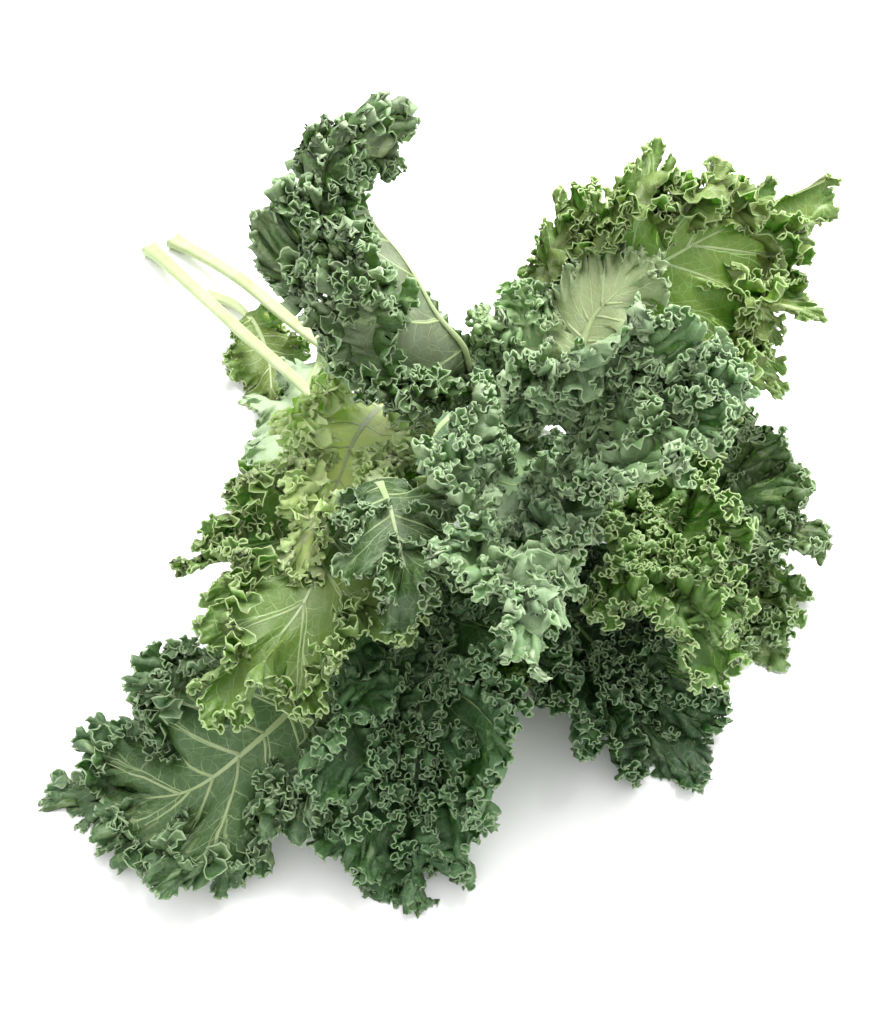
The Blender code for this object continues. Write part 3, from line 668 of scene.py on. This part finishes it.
def stalk_rings(leaf, rib):
    """rings of a stalk and midrib: an ellipse whose radius tapers along the line and flares at the cut end,
    grooved on top before the blade starts, then flush with the blade's upper face"""
    y = np.linspace(0, rib.length * MIDRIB_REACH, leaf["rings"])
    share = y / rib.length
    start = leaf["start"]
    p, _, up, across = rib.frame(y)
    r = leaf["stalk"] * (1 - 0.4 * smooth(0.0, start + 0.1, share))
    r = r * (1 - 0.86 * smooth(start, 1.0, share)) + 0.3
    r = r * (1 + STALK_FLARE * np.exp(-y / FLARE_LENGTH)) * (1 - 0.25 * smooth(start, start + 0.15, share))
    inside = smooth(start - 0.03, start + 0.06, share)[:, None]
    angle = (np.arange(STALK_SIDES) + 0.5) * 2 * np.pi / STALK_SIDES
    c, v = np.cos(angle)[None], np.sin(angle)[None]
    high = np.maximum(v, 0.0)
    free = v * 0.9 - 0.5 * high**6
    wedge = np.where(v > 0, 0.1 * high, v * 1.15)
    z = r[:, None] * (free * (1 - inside) + wedge * inside)
    z = z - (r[:, None] * 0.9 + 0.5) * (1 - inside) + (BLADE_HALF + 0.12) * inside
    ridge = 1 + 0.035 * np.cos(angle * 6)[None] * (1 - inside)
    ring = across[:, None] * (r[:, None] * c * ridge)[..., None] + up[:, None] * z[..., None]
    return p[:, None] + ring


def vein_rings(p, rows, columns, thick):
    """rings of the side veins: a small flat-topped hexagon carried out along each chosen column of the blade"""
    rings = []
    last = len(p) - 1
    for c in columns:
        line = p[c]
        t = unit(np.gradient(line, axis=0))
        near = p[min(c + VEIN_ASIDE, last)] - p[max(c - VEIN_ASIDE, 0)]
        n = unit(np.cross(near, t))
        b = np.cross(t, n)
        r = (thick * (1 - 0.88 * rows**0.8))[:, None]
        angle = (np.arange(VEIN_SIDES) + 0.5) * 2 * np.pi / VEIN_SIDES
        x, z = np.cos(angle)[None] * r, np.sin(angle)[None] * r
        z = np.where(z > 0, z * 0.2, z) + BLADE_HALF
        rings.append(line[:, None] + b[:, None] * x[..., None] + n[:, None] * z[..., None])
    return rings


def add_mesh(name, verts, faces, values):
    """mesh object written in metres at the origin, with its named numbers kept on the points"""
    verts = (verts - np.array([*ORIGIN, 0.0])) * MM
    mesh = bpy.data.meshes.new(name)
    mesh.vertices.add(len(verts))
    mesh.vertices.foreach_set("co", verts.astype(np.float32).ravel())
    mesh.loops.add(faces.size)
    mesh.loops.foreach_set("vertex_index", faces.astype(np.int32).ravel())
    mesh.polygons.add(len(faces))
    mesh.polygons.foreach_set("loop_start", np.arange(0, faces.size, 3, dtype=np.int32))
    mesh.polygons.foreach_set("loop_total", np.full(len(faces), 3, np.int32))
    mesh.update(calc_edges=True)
    mesh.shade_smooth()
    for key, value in values.items():
        kept = mesh.attributes.new(key, "FLOAT", "POINT")
        kept.data.foreach_set("value", value.astype(np.float32))
    thing = bpy.data.objects.new(name, mesh)
    bpy.context.scene.collection.objects.link(thing)
    return thing


def above_floor(points):
    """one array of points, none lower than the floor's touch"""
    points = np.concatenate(points)
    points[:, 2] = np.maximum(points[:, 2], FLOOR_TOUCH)
    return points


def make_blade(leaf, rib, p, s, w, up_root):
    """blade shell and the shells of its crests in one mesh, with distance from the margin, share of the blade,
    distance out from the midrib and side of the sheet kept on each point for the leaf skin"""
    verts, faces, cols, rows = shell(p, up_root, np.array(STEPS), BLADE_HALF)
    t = np.array(ROWS)[rows]
    parts = [(verts, faces, w[cols] * (1 - t), s[cols], w[cols] * t, 1.0)]
    for number, path in enumerate(crest_paths(leaf)):
        q, inward = crest(leaf, rib, number, path)
        verts, faces, cols, rows = shell(rest(q, FLOOR_LOW), None, np.array(CREST_STEPS), CREST_HALF)
        edge = inward[cols, rows]
        parts.append((verts, faces, edge, np.full(len(cols), 0.5), CREST_OUT - edge, 0.5))
    points, triangles, made = [], [], 0
    values = {"edge": [], "share": [], "out": [], "under": []}
    for verts, faces, edge, share, out, under in parts:
        points.append(verts)
        triangles.append(faces + made)
        made += len(verts)
        for key, value in (("edge", edge), ("share", share), ("out", out)):
            values[key].append(np.tile(value, 2))
        values["under"].append(np.repeat([0.0, under], len(edge)))
    values = {key: np.concatenate(value) for key, value in values.items()}
    return add_mesh("leaf_" + leaf["name"], above_floor(points), np.concatenate(triangles), values)


def make_stalk(leaf, rib, p, s):
    """stalk with its midrib and the blade's main side veins in one mesh, each point knowing how far it is
    inside the blade"""
    rings = stalk_rings(leaf, rib)
    points, faces = [rings.reshape(-1, 3)], [tube_faces(len(rings), STALK_SIDES)]
    wanted = (np.arange(leaf["veins"]) + 0.4) / (leaf["veins"] + 0.9)
    middle = leaf["columns"] // 2
    left = np.interp(wanted, s[: middle + 1], np.arange(middle + 1))
    right = np.interp(-wanted, -s[middle:], np.arange(middle, leaf["columns"] + 1))
    chosen = (np.round(np.r_[left, right] / STEPS[0]) * STEPS[0]).astype(int)
    thick = leaf["stalk"] * VEIN_SHARE
    for ring in vein_rings(p[:, :VEIN_ROWS], np.array(ROWS)[:VEIN_ROWS], chosen, thick):
        faces.append(tube_faces(len(ring), VEIN_SIDES) + sum(len(q) for q in points))
        points.append(ring.reshape(-1, 3))
    points = above_floor(points)
    along = np.linspace(0, MIDRIB_REACH, leaf["rings"])
    inside = np.ones(len(points))
    inside[: rings.shape[0] * STALK_SIDES] = np.repeat(
        smooth(leaf["start"], leaf["start"] + 0.25, along), STALK_SIDES
    )
    inside *= leaf["rib_green"]
    return add_mesh("stalk_and_veins_" + leaf["name"], points, np.concatenate(faces), {"inside": inside})


def make_leaf(leaf):
    """blade of one leaf on columns spaced by its own frilled margin, and its stalk"""
    rib = Midrib(leaf["line"], leaf["face"])
    rows = np.array(ROWS)
    at = np.linspace(0, 1, leaf["columns"] + 1)
    *_, plan = frilled(leaf, rib, at, rows)
    at = even_columns(at, plan[-1])
    p, s, w, up_root, _ = frilled(leaf, rib, at, rows, plan)
    p = rest(p, FLOOR_LOW)
    return make_blade(leaf, rib, p, s, w, up_root), make_stalk(leaf, rib, p, s)


def group(name, numbers, colours, results):
    """empty shader node group with named sockets: numbers and colours in, then what comes out of it"""
    tree = bpy.data.node_groups.new(name, "ShaderNodeTree")
    for kind, sockets in (("NodeSocketFloat", numbers), ("NodeSocketColor", colours)):
        for label, value in sockets.items():
            tree.interface.new_socket(name=label, in_out="INPUT", socket_type=kind).default_value = value
    for label in results:
        kind = "NodeSocketColor" if label == "Color" else "NodeSocketFloat"
        tree.interface.new_socket(name=label, in_out="OUTPUT", socket_type=kind)
    return tree


def give(tree, results):
    """links what a group works out to its output sockets"""
    sockets = tree.nodes.new("NodeGroupOutput").inputs
    for label, value in results.items():
        tree.links.new(value, sockets[label])


def feed(tree, socket, value):
    """links a socket, or sets a plain value on it"""
    if isinstance(value, bpy.types.NodeSocket):
        tree.links.new(value, socket)
    elif value is not None:
        socket.default_value = value


def sums(tree, operation, a, b=None, c=None):
    """result of one operation on up to three numbers"""
    node = tree.nodes.new("ShaderNodeMath")
    node.operation = operation
    for socket, value in zip(node.inputs, (a, b, c)):
        feed(tree, socket, value)
    return node.outputs[0]


def blend(tree, share, a, b, how="MIX"):
    """two colours mixed, or multiplied, by a share of the second"""
    node = tree.nodes.new("ShaderNodeMix")
    node.data_type = "RGBA"
    node.blend_type = how
    feed(tree, node.inputs[0], share)
    feed(tree, node.inputs[6], a)
    feed(tree, node.inputs[7], b)
    return node.outputs[2]


def ramp(tree, value, low, high, start=0.0, end=1.0):
    """smooth step of a value between low and high"""
    node = tree.nodes.new("ShaderNodeMapRange")
    node.interpolation_type = "SMOOTHSTEP"
    keys = ("Value", "From Min", "From Max", "To Min", "To Max")
    for key, number in zip(keys, (value, low, high, start, end)):
        feed(tree, node.inputs[key], number)
    return node.outputs["Result"]


def spot(tree):
    """object coordinates, in metres"""
    return tree.nodes.new("ShaderNodeTexCoord").outputs["Object"]


def cloud(tree, where, scale, detail=3.0, rough=0.55):
    """noise at a place, scale in waves a metre"""
    node = tree.nodes.new("ShaderNodeTexNoise")
    tree.links.new(where, node.inputs["Vector"])
    node.inputs["Scale"].default_value = scale
    node.inputs["Detail"].default_value = detail
    node.inputs["Roughness"].default_value = rough
    return node.outputs["Fac"]


def off_middle(tree, beat):
    """how far a beat is from the middle of its turn, 0 to a half"""
    return sums(tree, "ABSOLUTE", sums(tree, "SUBTRACT", sums(tree, "FRACT", beat), 0.5))


def tinted(tree, share, colour, tint):
    """a share of a colour multiplied by a tint"""
    return blend(tree, share, colour, blend(tree, 1.0, colour, (*tint, 1), "MULTIPLY"))


def make_vein_net():
    """Mask of a leaf's side veins: lines at even shares of the blade that fork once on their way out, thinner
    branches that leave them at a slant, and a fine net of cells between them."""
    numbers = {"Share": 0.0, "Out": 0.0, "Veins": 7.9, "Spacing": 16.0, "Width": 0.5}
    tree = group("vein_net", numbers, {}, ("Veins", "Net"))
    io = tree.nodes.new("NodeGroupInput").outputs
    where = spot(tree)
    wander = sums(tree, "MULTIPLY_ADD", cloud(tree, where, 60.0, 2.0, 0.5), 0.34, -0.17)
    beat = sums(tree, "MULTIPLY_ADD", io["Share"], io["Veins"], 0.1)
    beat = sums(tree, "ADD", beat, sums(tree, "MULTIPLY", wander, ramp(tree, io["Out"], 4.0, 22.0)))
    gap = off_middle(tree, beat)
    far = sums(tree, "MULTIPLY", gap, io["Spacing"])
    lines = ramp(tree, far, sums(tree, "MULTIPLY", io["Width"], 0.35), io["Width"], 1.0, 0.0)
    sprung = sums(tree, "MULTIPLY_ADD", far, -1.15, io["Out"])
    sprung = sums(tree, "ADD", sums(tree, "MULTIPLY", sprung, 0.115), sums(tree, "MULTIPLY", wander, 2.2))
    branch = off_middle(tree, sprung)
    branch = ramp(tree, sums(tree, "MULTIPLY", branch, 8.0), 0.08, 0.34, 0.75, 0.0)
    branch = sums(tree, "MULTIPLY", branch, ramp(tree, far, 2.0, 7.5, 1.0, 0.25))
    lines = sums(tree, "MAXIMUM", lines, branch)
    walk = sums(tree, "MAXIMUM", sums(tree, "SUBTRACT", io["Out"], 20.0), 0.0)
    walk = sums(tree, "MULTIPLY", walk, 0.0085)
    gap = sums(tree, "ABSOLUTE", sums(tree, "SUBTRACT", gap, sums(tree, "MINIMUM", walk, 0.25)))
    far = sums(tree, "MULTIPLY", gap, io["Spacing"])
    thin, wide = (sums(tree, "MULTIPLY", io["Width"], share) for share in (0.2, 0.8))
    last = ramp(tree, far, thin, wide, 1.0, 0.0)
    lines = sums(tree, "MAXIMUM", lines, sums(tree, "MULTIPLY", last, 0.7))
    cells = tree.nodes.new("ShaderNodeTexVoronoi")
    cells.feature = "DISTANCE_TO_EDGE"
    tree.links.new(where, cells.inputs["Vector"])
    cells.inputs["Scale"].default_value = 210.0
    net = ramp(tree, cells.outputs["Distance"], 0.0, 0.09, 1.0, 0.0)
    give(tree, {"Veins": lines, "Net": net})
    return tree


def make_leaf_skin(net):
    """Colour, roughness and height of a kale blade: mottled green above, paler and greyer below, pale forked
    veins, a thin pale rim that is painted highlight where light catches the margin, waxy bloom in patches, and a
    pebbled surface between the fine veins."""
    numbers = {"Edge": 10.0, "Share": 0.0, "Out": 0.0, "Under": 0.0, "Vein Show": 0.6, "Bloom": 0.2}
    greens = {
        "Upper Green": (0.1, 0.2, 0.06, 1), "Lower Green": (0.2, 0.3, 0.2, 1),
        "Frill Green": (0.1, 0.2, 0.1, 1), "Rim Highlight": (0.4, 0.5, 0.3, 1),
    }
    tree = group("leaf_skin", numbers, greens, ("Color", "Roughness", "Height"))
    io = tree.nodes.new("NodeGroupInput").outputs
    veins = tree.nodes.new("ShaderNodeGroup")
    veins.node_tree = net
    for key in ("Share", "Out"):
        tree.links.new(io[key], veins.inputs[key])
    lines, cells = veins.outputs["Veins"], veins.outputs["Net"]
    pale = (*VEIN_PALE, 1)
    where = spot(tree)
    patch = ramp(tree, cloud(tree, where, 28.0, 3.0, 0.6), 0.3, 0.7)
    speck = cloud(tree, where, 420.0, 3.0, 0.6)
    upper = blend(tree, ramp(tree, io["Edge"], 3.0, 20.0), io["Frill Green"], io["Upper Green"])
    upper = tinted(tree, sums(tree, "MULTIPLY", patch, 0.5), upper, (1.25, 1.16, 0.8))
    upper = tinted(tree, sums(tree, "MULTIPLY", ramp(tree, speck, 0.45, 0.75), 0.35), upper, (0.7, 0.76, 0.74))
    frill_below = blend(tree, 0.45, io["Lower Green"], io["Frill Green"])
    lower = blend(tree, ramp(tree, io["Edge"], 3.0, 22.0), frill_below, io["Lower Green"])
    lower = tinted(tree, sums(tree, "MULTIPLY", patch, 0.4), lower, (1.15, 1.12, 0.95))
    base = blend(tree, io["Under"], upper, lower)
    fade = ramp(tree, io["Edge"], 1.0, 9.0)
    show = sums(tree, "MULTIPLY", sums(tree, "MULTIPLY", lines, io["Vein Show"]), fade)
    base = blend(tree, sums(tree, "MULTIPLY", cells, NET_SHOW), base, pale)
    base = blend(tree, show, base, pale)
    haze = ramp(tree, cloud(tree, where, 90.0, 4.0, 0.65), 0.35, 0.75)
    base = blend(tree, sums(tree, "MULTIPLY", haze, io["Bloom"]), base, (0.30, 0.40, 0.28, 1))
    # painted highlight: the outermost margin is mixed towards the leaf's pale rim green, standing in for light
    # that catches and shines through the thin edge
    rim = ramp(tree, io["Edge"], 0.1, 0.6, 1.0, 0.0)
    base = blend(tree, sums(tree, "MULTIPLY", rim, 0.7), base, io["Rim Highlight"])
    rough = sums(tree, "MULTIPLY_ADD", haze, 0.16, 0.4)
    rough = sums(tree, "MULTIPLY_ADD", speck, 0.1, rough)
    bumps = sums(tree, "MULTIPLY_ADD", cells, -0.6, sums(tree, "MULTIPLY", speck, 0.5))
    sunk = sums(tree, "MULTIPLY", lines, sums(tree, "MULTIPLY_ADD", io["Under"], 3.0, -1.2))
    give(tree, {"Color": base, "Roughness": rough, "Height": sums(tree, "ADD", bumps, sunk)})
    return tree


def finish(name, roughness=0.5):
    """new material, its nodes and its main shader"""
    material = bpy.data.materials.new(name)
    material.use_nodes = True
    shader = material.node_tree.nodes["Principled BSDF"]
    shader.inputs["Roughness"].default_value = roughness
    return material, material.node_tree, shader


def roughen(tree, shader, height, strength):
    """bumps the shader's surface by a height"""
    bump = tree.nodes.new("ShaderNodeBump")
    bump.inputs["Strength"].default_value = strength
    bump.inputs["Distance"].default_value = 0.0004
    tree.links.new(height, bump.inputs["Height"])
    tree.links.new(bump.outputs["Normal"], shader.inputs["Normal"])


def let_light_in(shader, weight, radius, scale):
    """light that enters the surface and leaves it nearby"""
    shader.inputs["Subsurface Weight"].default_value = weight
    shader.inputs["Subsurface Radius"].default_value = radius
    shader.inputs["Subsurface Scale"].default_value = scale


def read_value(tree, name):
    """number kept on the mesh's points under a name"""
    node = tree.nodes.new("ShaderNodeAttribute")
    node.attribute_name = name
    return node.outputs["Fac"]


def leaf_finish(leaf, skin):
    """leaf skin with this leaf's greens, which hold painted light and shade as well as its own tone, thin enough
    to let some light through
    """
    material, tree, shader = finish("kale_" + leaf["name"])
    node = tree.nodes.new("ShaderNodeGroup")
    node.node_tree = skin
    for key in ("edge", "share", "out", "under"):
        tree.links.new(read_value(tree, key), node.inputs[key.title()])
    frill_green = [round(green * tint, 3) for green, tint in zip(leaf["upper"], leaf["edge_tint"])]
    node.inputs["Frill Green"].default_value = (*frill_green, 1.0)
    for key, label in (("upper", "Upper Green"), ("lower", "Lower Green"), ("rim", "Rim Highlight")):
        node.inputs[label].default_value = (*leaf[key], 1.0)
    node.inputs["Vein Show"].default_value = leaf["vein_show"]
    node.inputs["Bloom"].default_value = leaf["bloom"]
    tree.links.new(node.outputs["Color"], shader.inputs["Base Color"])
    tree.links.new(node.outputs["Roughness"], shader.inputs["Roughness"])
    roughen(tree, shader, node.outputs["Height"], 0.35)
    let_light_in(shader, leaf["glow"], (0.5, 1.0, 0.25), 0.002)
    shader.inputs["Specular IOR Level"].default_value = 0.45
    return material


def stalk_finish():
    """pale green stalk: patches, streaks that run along it, darker flecks, greener inside the blade"""
    material, tree, shader = finish("kale_stalk", 0.42)
    where = spot(tree)
    stretch = tree.nodes.new("ShaderNodeMapping")
    stretch.inputs["Rotation"].default_value = (0.0, 0.0, 0.93)
    stretch.vector_type = "TEXTURE"
    stretch.inputs["Scale"].default_value = (9.0, 1.0, 1.0)
    tree.links.new(where, stretch.inputs["Vector"])
    streak = cloud(tree, stretch.outputs["Vector"], 700.0, 3.0, 0.6)
    patch = cloud(tree, where, 45.0)
    colour = blend(tree, ramp(tree, patch, 0.35, 0.7), (0.33, 0.42, 0.19, 1), (0.42, 0.48, 0.27, 1))
    colour = blend(tree, ramp(tree, streak, 0.5, 0.72, 0.0, 0.45), colour, (0.25, 0.35, 0.12, 1))
    fleck = ramp(tree, cloud(tree, where, 260.0, 2.0, 0.7), 0.68, 0.78, 0.0, 0.25)
    colour = blend(tree, fleck, colour, (0.28, 0.26, 0.14, 1))
    inside = sums(tree, "MULTIPLY", read_value(tree, "inside"), 0.7)
    colour = blend(tree, inside, colour, (0.24, 0.34, 0.13, 1))
    tree.links.new(colour, shader.inputs["Base Color"])
    tree.links.new(ramp(tree, streak, 0.3, 0.8, 0.36, 0.55), shader.inputs["Roughness"])
    roughen(tree, shader, streak, 0.3)
    let_light_in(shader, 0.15, (0.8, 1.0, 0.4), 0.003)
    return material


skin = make_leaf_skin(make_vein_net())
pale_stalk = stalk_finish()
for leaf in LEAVES:
    blade, stalk = make_leaf(leaf)
    blade.data.materials.append(leaf_finish(leaf, skin))
    stalk.data.materials.append(pale_stalk)
    for piece, node, slot in ((blade, "blade_", leaf["slot"]), (stalk, "stalk_", "stalk")):
        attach(piece, "root")
        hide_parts(node + leaf["name"])

# a plain pale floor, an even pale sky and one broad lamp behind and above
floor_mesh = bpy.data.meshes.new("floor")
floor_mesh.from_pydata([(-4, -4, 0), (4, -4, 0), (4, 4, 0), (-4, 4, 0)], [], [(0, 1, 2, 3)])
floor = bpy.data.objects.new("floor", floor_mesh)
bpy.context.scene.collection.objects.link(floor)
floor_finish, _, floor_shader = finish("floor", 0.9)
floor_shader.inputs["Base Color"].default_value = (0.93, 0.93, 0.93, 1)
floor_shader.inputs["Specular IOR Level"].default_value = 0.1
floor_mesh.materials.append(floor_finish)

world = bpy.data.worlds.new("sky")
bpy.context.scene.world = world
world.use_nodes = True
sky = world.node_tree.nodes["Background"]
sky.inputs[0].default_value = (1, 1, 1, 1)
sky.inputs[1].default_value = SKY_STRENGTH
lamp = bpy.data.lights.new("lamp", "AREA")
lamp.size = LAMP_SIZE
lamp.energy = LAMP_WATTS
holder = bpy.data.objects.new("lamp", lamp)
holder.location = LAMP_PLACE
holder.rotation_euler = (Vector(LOOK_AT) - Vector(LAMP_PLACE)).to_track_quat("-Z", "Y").to_euler()
bpy.context.scene.collection.objects.link(holder)
bpy.context.scene.view_settings.view_transform = "Standard"

lens = bpy.data.cameras.new("camera")
lens.lens = 50
lens.sensor_width = 36
camera = bpy.data.objects.new("camera", lens)
bpy.context.scene.collection.objects.link(camera)
back = Vector((0, -math.cos(CAMERA_RISE), math.sin(CAMERA_RISE))) * CAMERA_AWAY
camera.location = Vector(LOOK_AT) + back
camera.rotation_euler = (-back).to_track_quat("-Z", "Y").to_euler()
bpy.context.scene.camera = camera
